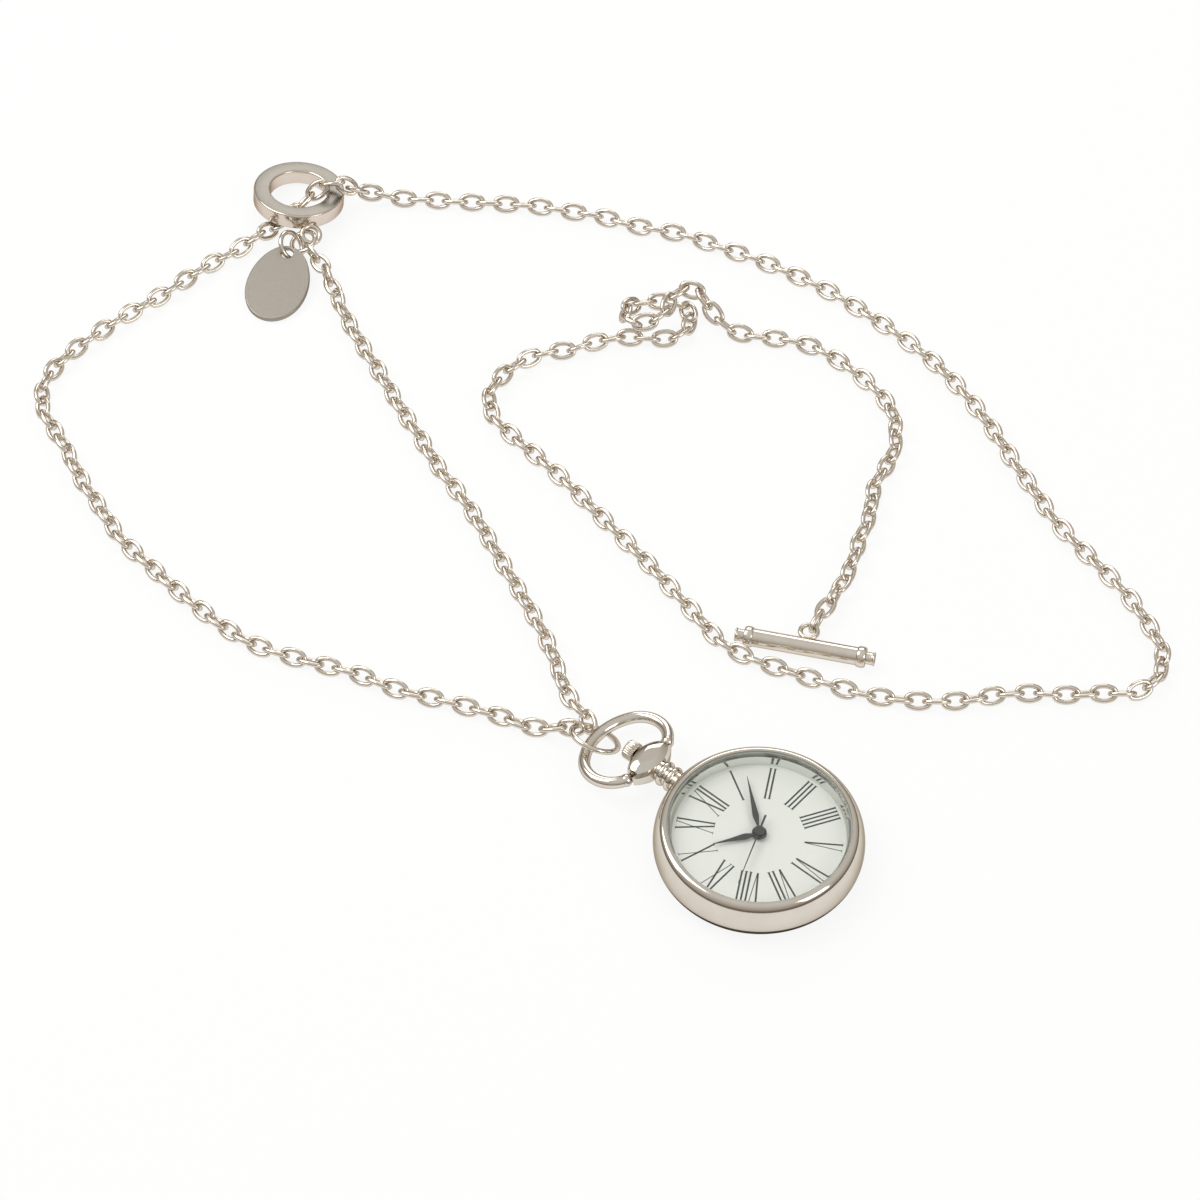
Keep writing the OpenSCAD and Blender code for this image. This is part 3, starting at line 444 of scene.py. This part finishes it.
dress(toggle_ring, rose_nickel, body_of["toggle_ring"],
      matrix(*axes_of(points_of("toggle_ring"))), ["toggle_ring"])

# %% [markdown]
# ## The tag
#
# An egg-shaped plate with a softened edge and a round hole. The hole is cut with a Boolean
# modifier. The tag's long axis is pointed at the ring that holds it.

# %%
TAG_L, TAG_W, TAG_T, TAG_TAPER, TAG_HOLE, HOLE_X = 18.0, 12.4, 1.0, 0.08, 2.4, 7.22
TAG_EDGE, TAG_POINTS, CUTTER_L = 0.22, 120, 4
egg = [(TAG_L / 2 * cos(t), TAG_W / 2 * sin(t) * (1 - TAG_TAPER * cos(t)))
       for t in [radians(360 // TAG_POINTS * i) for i in range(TAG_POINTS)]]
tag = plate("tag_plate", egg, TAG_T)
tag.data.transform(Matrix.Translation((0, 0, -TAG_T / 2 * MM)))
bpy.ops.mesh.primitive_cylinder_add(vertices=40, radius=TAG_HOLE / 2 * MM, depth=CUTTER_L * MM,
                                    location=(HOLE_X * MM, 0, 0))
cut_away(tag, bpy.context.object)
soften(tag, TAG_EDGE)
even_shading(tag)
middle, axes = axes_of(points_of("tag"))
to_ring = points_of("tag_ring").mean(axis=0) - middle
if axes[:, 0] @ to_ring < 0:
    axes[:, :2] = -axes[:, :2]
dress(tag, tag_satin, "tag", matrix(middle, axes), ["tag"])

# %% [markdown]
# ## The toggle bar
#
# Turned from rod: a straight bar, two rounded collars and a short button at each end with a thin
# raised lip.

# %%
BAR_L, BAR_D, COLLAR_D, COLLAR_L, BUTTON_D, BUTTON_L = 26.4, 3.4, 4.0, 1.7, 2.6, 1.7
SUNK, WAIST_IN, WAIST_END, LIP_R, FACE_IN, FACE_DOWN = 0.1, 0.14, 0.5, 0.2, 0.45, 0.08
half = BAR_L / 2 - BUTTON_L
inner = half - COLLAR_L
bar_place = matrix(*axes_of(points_of("bar_body"))) @ Matrix.Rotation(pi / 2, 4, "Y")

rod = turned("bar_rod", [(0, -half), (BAR_D / 2, -half), (BAR_D / 2, half), (0, half)])
dress(rod, nickel, "bar", bar_place, ["bar_body"])
collars = []
buttons = []
for side in (-1, 1):
    collar = [(BAR_D / 2 - SUNK, inner)]
    collar += oval((BAR_D / 2, inner + COLLAR_L / 2), (COLLAR_D - BAR_D) / 2, COLLAR_L / 2,
                   -90, 90, 14)
    collar += [(BAR_D / 2 - SUNK, half)]
    top = half + BUTTON_L
    waist = BUTTON_D / 2 - WAIST_IN
    button = [(0, half - SUNK), (waist, half - SUNK), (waist, top - WAIST_END)]
    button += oval((BUTTON_D / 2 - LIP_R, top - LIP_R), LIP_R, LIP_R, -60, 90, 8)
    button += [(BUTTON_D / 2 - FACE_IN, top - FACE_DOWN), (0, top - FACE_DOWN)]
    for shapes, shape in ((collars, collar), (buttons, button)):
        shapes.append(turned("end", [(r, side * z) for r, z in shape], steps=64))
dress(join(collars, "bar_collar_pair"), nickel, "bar", bar_place, ["bar_collars"])
dress(join(buttons, "bar_button_pair"), nickel, "bar", bar_place, ["bar_buttons"])

# %% [markdown]
# ## The watch case
#
# Two oval curves make the pebble-like side of the case. The outline is turned once, with a thin
# lip round the crystal. Its foot and the cover at the back are brushed and painted darker: this is
# painted shade that stands in for the shadowed underside of the case.

# %%
CASE_R, CASE_H, BELLY_Z, LIP_IN, BACK_IN, BACK_H = 19.0, 8.8, 4.0, 2.1, 2.6, 1.3
SEAT_R, LEDGE_Z, BORE_R, DIAL_Z, DIAL_VIEW_R, SHADE_BAND_TOP_Z = 16.6, 7.8, 16.05, 5.8, 15.6, 3.0
RIM_Z, COVER_IN, COVER_GAP, FLANGE_GAP, FLANGE_TOP = 0.1, 0.2, 0.06, 0.03, 0.17
HEADING = 139
on_watch = Matrix.Rotation(radians(HEADING), 4, "Z")


def lower(z):
    return degrees(asin((z - BELLY_Z) / (BELLY_Z - RIM_Z)))


side = oval((CASE_R - BACK_IN, BELLY_Z), BACK_IN, BELLY_Z - RIM_Z, lower(BACK_H), 0, 14)
side += oval((CASE_R - LIP_IN, BELLY_Z), LIP_IN, CASE_H - BELLY_Z, 0, 90, 22)[1:]
case = turned("case_shell", side + [(SEAT_R, CASE_H), (SEAT_R, LEDGE_Z), (BORE_R, LEDGE_Z),
                                    (BORE_R, BACK_H)], steps=160, angle=30)
case.data.materials.append(polished_steel)
case.data.materials.append(underside_shade_steel)
# Faces below the band top get the darker steel, as painted shade for the case's shadowed
# underside.
for face in case.data.polygons:
    face.material_index = 1 if face.center.z < SHADE_BAND_TOP_Z * MM else 0
dress(case, polished_steel, "watch", on_watch, ["case_body"])
cover_h = BACK_H - COVER_GAP
rim = oval((CASE_R - BACK_IN, BELLY_Z), BACK_IN, BELLY_Z - RIM_Z, lower(RIM_Z), lower(cover_h), 8)
cover = turned("case_cover", [(0, 0), (CASE_R - BACK_IN - COVER_IN, 0)] + rim + [(0, cover_h)],
               steps=120, angle=30)
# The back cover takes the same darker steel, as painted shade at the bottom of the case.
dress(cover, underside_shade_steel, "watch", on_watch, ["case_back"])
# The flange gets the steel whose pale greenish tint is a painted reflection of the dial.
flange_r = BORE_R - FLANGE_GAP
flange = turned("polished_flange", [(DIAL_VIEW_R, DIAL_Z), (flange_r, DIAL_Z), (flange_r, LEDGE_Z),
                                    (BORE_R - FLANGE_TOP, LEDGE_Z)], steps=160, angle=30)
dress(flange, flange_steel_with_dial_reflection, "watch", on_watch, ["dial_flange"])

# %% [markdown]
# ## The printed hours
#
# Tall thin Roman numbers stand on the dial with their feet towards the centre. Each number is a
# row of strokes: a thick bar, or a thick and a thin slanted one, with fine serifs at the ends.
# Every stroke is a thin plate.

# %%
FOOT_R, TOP_R, THICK, THIN, PRINT_T = 8.2, 15.0, 0.34, 0.15, 0.015
SERIF, SERIF_T, LETTER_GAP, FOOT_SHIFT = 0.28, 0.1, 0.2, 0.08
WIDTHS = {"I": 0.8, "V": 1.7, "X": 1.9}
HOURS = ["XII", "I", "II", "III", "IIII", "V", "VI", "VII", "VIII", "IX", "X", "XI"]
strokes = []


def stroke(u0, v0, u1, v1, width, turn):
    length = hypot(u1 - u0, v1 - v0)
    side = (width / 2 * (v1 - v0) / length, -width / 2 * (u1 - u0) / length)
    outline = [(u0 - side[0], v0 - side[1]), (u0 + side[0], v0 + side[1]),
               (u1 + side[0], v1 + side[1]), (u1 - side[0], v1 - side[1])]
    bar = plate("stroke", outline, PRINT_T)
    bar.data.transform(Matrix.Rotation(turn, 4, "Z"))
    strokes.append(bar)


def letter(kind, u, turn):
    w = WIDTHS[kind] / 2 - LETTER_GAP
    if kind == "I":
        lines = [(0, FOOT_R, 0, TOP_R, THICK)]
        ends = [(0, FOOT_R), (0, TOP_R)]
    elif kind == "V":
        lines = [(0, FOOT_R, -w, TOP_R, THICK), (FOOT_SHIFT, FOOT_R, w, TOP_R, THIN)]
        ends = [(-w, TOP_R), (w, TOP_R)]
    else:
        lines = [(w, FOOT_R, -w, TOP_R, THICK), (-w, FOOT_R, w, TOP_R, THIN)]
        ends = [(w, FOOT_R), (-w, TOP_R), (-w, FOOT_R), (w, TOP_R)]
    for u0, v0, u1, v1, width in lines:
        stroke(u + u0, v0, u + u1, v1, width, turn)
    for x, y in ends:
        stroke(u + x - SERIF, y, u + x + SERIF, y, SERIF_T, turn)


for hour, word in enumerate(HOURS):
    total = sum(WIDTHS[k] for k in word)
    at = -total / 2
    for kind in word:
        letter(kind, at + WIDTHS[kind] / 2, radians(-90 - 30 * hour))
        at += WIDTHS[kind]
hours = join(strokes, "hour_print")
dress(hours, print_black, "watch",
      on_watch @ Matrix.Translation((0, 0, DIAL_Z * MM)))

# %% [markdown]
# ## The hands
#
# Leaf-shaped hour and minute hands and a needle for the seconds, each with a round hub. The hubs
# are turned and step up towards the middle.

# %%
HAND_T, HUB_EDGE = 0.15, 0.08
MINUTES = 606.69
STEM_W, NECK_AT, NECK_W, POINT_W = 0.2, 0.12, 0.22, 0.04
LEAF = [(0.27, 0.95), (0.31, 1), (0.36, 0.94), (0.65, 0.46)]


def leaf(start, length, width):
    half_leaf = [(start, STEM_W), (NECK_AT * length, NECK_W)]
    half_leaf += [(along * length, width * wide) for along, wide in LEAF] + [(length, POINT_W)]
    return half_leaf + [(x, -y) for x, y in reversed(half_leaf)]


def hand(name, outline, hub, bore, height, z, angle, body, node):
    blade = plate(name + "_blade", outline, HAND_T)
    boss = turned(name + "_hub", [(bore, 0), (hub, 0), (hub, height - HUB_EDGE),
                                  (hub - HUB_EDGE, height), (bore, height)], steps=48, angle=30)
    piece = join([blade, boss], name)
    piece.data.transform(Matrix.Rotation(radians(-angle), 4, "Z"))
    place = on_watch @ Matrix.Translation((0, 0, z * MM))
    dress(piece, hand_black, body, place, [node])


needle = [(-3.6, 0.2), (-0.4, 0.16), (0, 0.14), (12, 0.05), (12, -0.05), (0, -0.14), (-0.4, -0.16),
          (-3.6, -0.2)]
hand("hour_leaf", leaf(1.0, 8.6, 0.62), hub=1.35, bore=0.85, height=0.2, z=6.3,
     angle=MINUTES / 2, body="hour", node="hour_hand")
hand("minute_leaf", leaf(0.6, 12.4, 0.56), hub=1.3, bore=0.45, height=0.2, z=6.7,
     angle=MINUTES % 60 * 6, body="minute", node="minute_hand")
hand("second_needle", needle, hub=1.0, bore=0.0, height=0.35, z=7.1,
     angle=MINUTES % 1 * 360, body="second", node="second_hand")

# %% [markdown]
# ## Pendant and bow
#
# The neck is turned with two round collars. The head is a lens-shaped outline pulled up in layers,
# with a notch for each end of the bow. The crown is pulled up in layers too, from a wavy circle.
# The bow is one oval wire: a wide far curve, two tight ends and a ball with a pin at each tip.

# %%
PENDANT_Z, NECK_R, NECK_END, COLLAR_R, COLLAR_T, BORE = 4.6, 1.9, 24.4, 2.45, 1.4, 0.55
COLLARS = (CASE_R + 0.5, CASE_R + 2.35)
BOW_W, BOW_D, BOW_END, BOW_OUT, BOW_WIRE, BALL_R, PIN_R = 8.7, 6.7, 5.7, 5.0, 2.2, 1.2, 0.45
PIVOT_X, BOW_DROOP, PIN_END, NECK_IN, BEAD_TURN = 26.4, 10, 2.49, 0.6, 77
along_pendant = (on_watch @ Matrix.Translation((0, 0, PENDANT_Z * MM))
                 @ Matrix.Rotation(pi / 2, 4, "Y"))

neck = [(BORE, CASE_R - NECK_IN), (NECK_R, CASE_R - NECK_IN)]
bead = COLLAR_T / 2
for start in COLLARS:
    neck += oval((COLLAR_R - bead, start + bead), bead, bead, -BEAD_TURN, BEAD_TURN, 14)
neck += [(NECK_R, NECK_END), (BORE, NECK_END)]
dress(turned("turned_neck", neck, steps=64), polished_steel, "watch",
      along_pendant, ["pendant_neck"])

HEAD_X, HEAD_L, HEAD_W, HEAD_H, NOTCH_Y, NOTCH_X = 25.8, 11.8, 5.8, 5.2, 4.29, -0.75
HEAD_EDGE, HEAD_TAPER, NOTCH_CUBE, DRILL_L, PIN_PLAY = 0.12, 0.3, 6, 16, 0.05
LAYERS = [(-1.0, 0.3), (-0.93, 0.6), (-0.76, 0.85), (-0.5, 0.97), (-0.4, 1.0),
          (0.4, 1.0), (0.5, 0.97), (0.76, 0.85), (0.93, 0.6), (1.0, 0.3)]
lens_r = (HEAD_L ** 2 + HEAD_W ** 2) / (4 * HEAD_W)
reach = degrees(asin(HEAD_L / 2 / lens_r))
lens = []
half_lens = oval((HEAD_W / 2 - lens_r, 0), lens_r, lens_r, -reach, reach, 24)[:-1]
for side in (1, -1):
    lens += [(side * x, side * y) for x, y in half_lens]
head_layers = [(z * HEAD_H / 2, size) for z, size in LAYERS]
head = layered("pendant_lens", lens, head_layers, angle=30)
for vertex in head.data.vertices:
    vertex.co.z *= 1 - HEAD_TAPER * (vertex.co.y / (HEAD_L / 2 * MM)) ** 2

for side in (-1, 1):
    at = Vector((NOTCH_X + NOTCH_CUBE / 2, side * (NOTCH_Y + NOTCH_CUBE / 2), 0)) * MM
    bpy.ops.mesh.primitive_cube_add(size=NOTCH_CUBE * MM, location=at)
    cut_away(head, bpy.context.object)
for turn_by, bore in (((pi / 2, 0, 0), PIN_R + PIN_PLAY), ((0, pi / 2, 0), BORE)):
    at = (PIVOT_X - HEAD_X) * MM if turn_by[0] else 0
    bpy.ops.mesh.primitive_cylinder_add(vertices=32, radius=bore * MM, depth=DRILL_L * MM,
                                        rotation=turn_by, location=(at, 0, 0))
    cut_away(head, bpy.context.object)
soften(head, HEAD_EDGE)
even_shading(head, angle=40)
dress(head, polished_steel, "watch",
      on_watch @ Matrix.Translation(Vector((HEAD_X, 0, PENDANT_Z)) * MM), ["pendant_head"])

CROWN_X, CROWN_R, FLUTES, FLUTE_DEEP, RIB_POINTS = 28.85, 1.9, 28, 0.13, 6
CROWN_LAYERS = [(0, 0.92), (0.07, 0.97), (0.2, 1), (1.75, 1), (1.95, 0.97), (2.12, 0.9),
                (2.21, 0.8), (2.25, 0.66)]
ribs = []
for i in range(FLUTES * RIB_POINTS):
    t = radians(360 * i / (FLUTES * RIB_POINTS))
    r = CROWN_R - FLUTE_DEEP * (0.5 - 0.5 * cos(FLUTES * t))
    ribs.append((r * cos(t), r * sin(t)))
crown = layered("ribbed_crown", ribs, CROWN_LAYERS, angle=50)
dress(crown, polished_steel, "crown",
      along_pendant @ Matrix.Translation((0, 0, CROWN_X * MM)), ["crown"])

BALL_FROM, BALL_STEP = 24, 12
side_x = BOW_W - BOW_END
far_r = wide_radius(BOW_W, BOW_D, BOW_END)
meet = degrees(atan2(far_r - BOW_D, side_x))
tip = -degrees(asin(BOW_OUT / BOW_END))
tip_x = side_x + BOW_END * cos(radians(tip))
bow = wire("bow_wire", BOW_WIRE, (side_x, BOW_OUT), BOW_END, tip, [
    ((side_x, BOW_OUT), meet - tip, 24), ((0, BOW_OUT + BOW_D - far_r), 180 - 2 * meet, 24),
    ((-side_x, BOW_OUT), meet - tip, 24)], sides=28, closed=False)
tips = [bow]
for side in (-1, 1):
    pin = [(0, PIN_END), (PIN_R, PIN_END)]
    pin += [(BALL_R * sin(radians(t)), tip_x - BALL_R * cos(radians(t)))
            for t in range(BALL_FROM, 180, BALL_STEP)]
    end = turned("bow_tip", pin + [(0, tip_x + BALL_R)], steps=32, angle=60)
    end.data.transform(Matrix.Rotation(side * pi / 2, 4, "Y"))
    tips.append(end)
bow_place = (on_watch @ Matrix.Translation((PIVOT_X * MM, 0, PENDANT_Z * MM))
             @ Matrix.Rotation(radians(BOW_DROOP), 4, "Y") @ Matrix.Rotation(-pi / 2, 4, "Z"))
dress(join(tips, "bow_loop"), polished_steel, "bow", bow_place, ["bow"])

# %% [markdown]
# ## Finishes for the CAD parts that stay
#
# The dial, the crystal and the small quartz movement are right as they come from CAD. They only
# get their finish.

# %%
FINISHES = {
    crystal_glass: ["crystal"], gasket_clear: ["crystal_gasket"], dial_white: ["dial"],
    polished_steel: ["setting_stem", "battery", "battery_strap", "bridge_screws"],
    rubber: ["back_gasket"], holder_plastic: ["movement_holder"], board_green: ["circuit_board"],
    copper: ["drive_coil"], satin_nickel: ["train_bridge", "motor_can"],
    brass: ["main_plate", "centre_wheel", "third_wheel", "second_wheel", "hour_wheel",
            "minute_wheel"]}
for material, names in FINISHES.items():
    for name in names:
        part = frame["nodes"][name]
        part.data.materials.clear()
        part.data.materials.append(material)

# %% [markdown]
# ## Table, light and background
#
# The white table shows as plain white to the camera and in the metal. Only a faint shadow stays.
# A wide lamp above gives the soft top light, and two smaller ones fill in from the right and from
# behind. A dark warm band near the horizon gives the polished metal its contrast.

# %%
TABLE_SIZE, GLOW_SHARE, SKY_LIGHT = 6, 0.88, 0.75
bpy.ops.mesh.primitive_plane_add(size=TABLE_SIZE)
table = bpy.context.object
table.name = "table"
table_white, tree = new_tree("white_table")
rays = add(tree, "ShaderNodeLightPath").outputs
seen = rays["Is Camera Ray"]
for kind in ("Is Glossy Ray", "Is Transmission Ray"):
    seen = add(tree, "ShaderNodeMath", {0: seen, 1: rays[kind]}, operation="MAXIMUM").outputs[0]
share = add(tree, "ShaderNodeMath", {0: seen, 1: GLOW_SHARE}, operation="MULTIPLY").outputs[0]
matt = add(tree, "ShaderNodeBsdfDiffuse", {"Color": colour("#f7f7f5")}).outputs[0]
glow = add(tree, "ShaderNodeEmission", {"Color": colour("#ffffff"), "Strength": 1.0}).outputs[0]
mix = add(tree, "ShaderNodeMixShader", {0: share, 1: matt, 2: glow})
add(tree, "ShaderNodeOutputMaterial", {"Surface": mix.outputs[0]})
table.data.materials.append(table_white)

world = bpy.data.worlds.new("studio")
world.use_nodes = True
scene.world = world
tree = world.node_tree
tree.nodes.clear()
view = add(tree, "ShaderNodeTexCoord").outputs["Generated"]
height = add(tree, "ShaderNodeSeparateXYZ", {0: view}).outputs["Z"]
ramp = add(tree, "ShaderNodeValToRGB", {"Fac": height})
stops = ramp.color_ramp.elements
stops[0].position, stops[0].color = 0.0, colour("#a89e93")
stops[1].position, stops[1].color = 1.0, colour("#ffffff")
SKY_BANDS = ((0.08, "#94897e"), (0.15, "#7b7066"), (0.24, "#b9b1a8"), (0.5, "#dcd8d1"),
             (0.8, "#f4f2ee"))
for position, code in SKY_BANDS:
    stop = stops.new(position)
    stop.color = colour(code)
sky = add(tree, "ShaderNodeBackground", {"Color": ramp.outputs["Color"], "Strength": SKY_LIGHT})
add(tree, "ShaderNodeOutputWorld", {"Surface": sky.outputs[0]})

LAMPS = {"top_left": ((-0.55, 0.25, 0.75), 0.6, 3.5),
         "front_right": ((0.55, -0.35, 0.5), 0.35, 1.2),
         "behind": ((0.05, 0.9, 0.45), 0.5, 1.6)}
aim = Vector((-0.03, 0.06, 0.0))
for name, (place, size, power) in LAMPS.items():
    lamp_data = bpy.data.lights.new(name, "AREA")
    lamp_data.size = size
    lamp_data.energy = power
    lamp = bpy.data.objects.new(name, lamp_data)
    lamp.location = place
    lamp.rotation_euler = (aim - Vector(place)).to_track_quat("-Z", "Y").to_euler()
    scene.collection.objects.link(lamp)
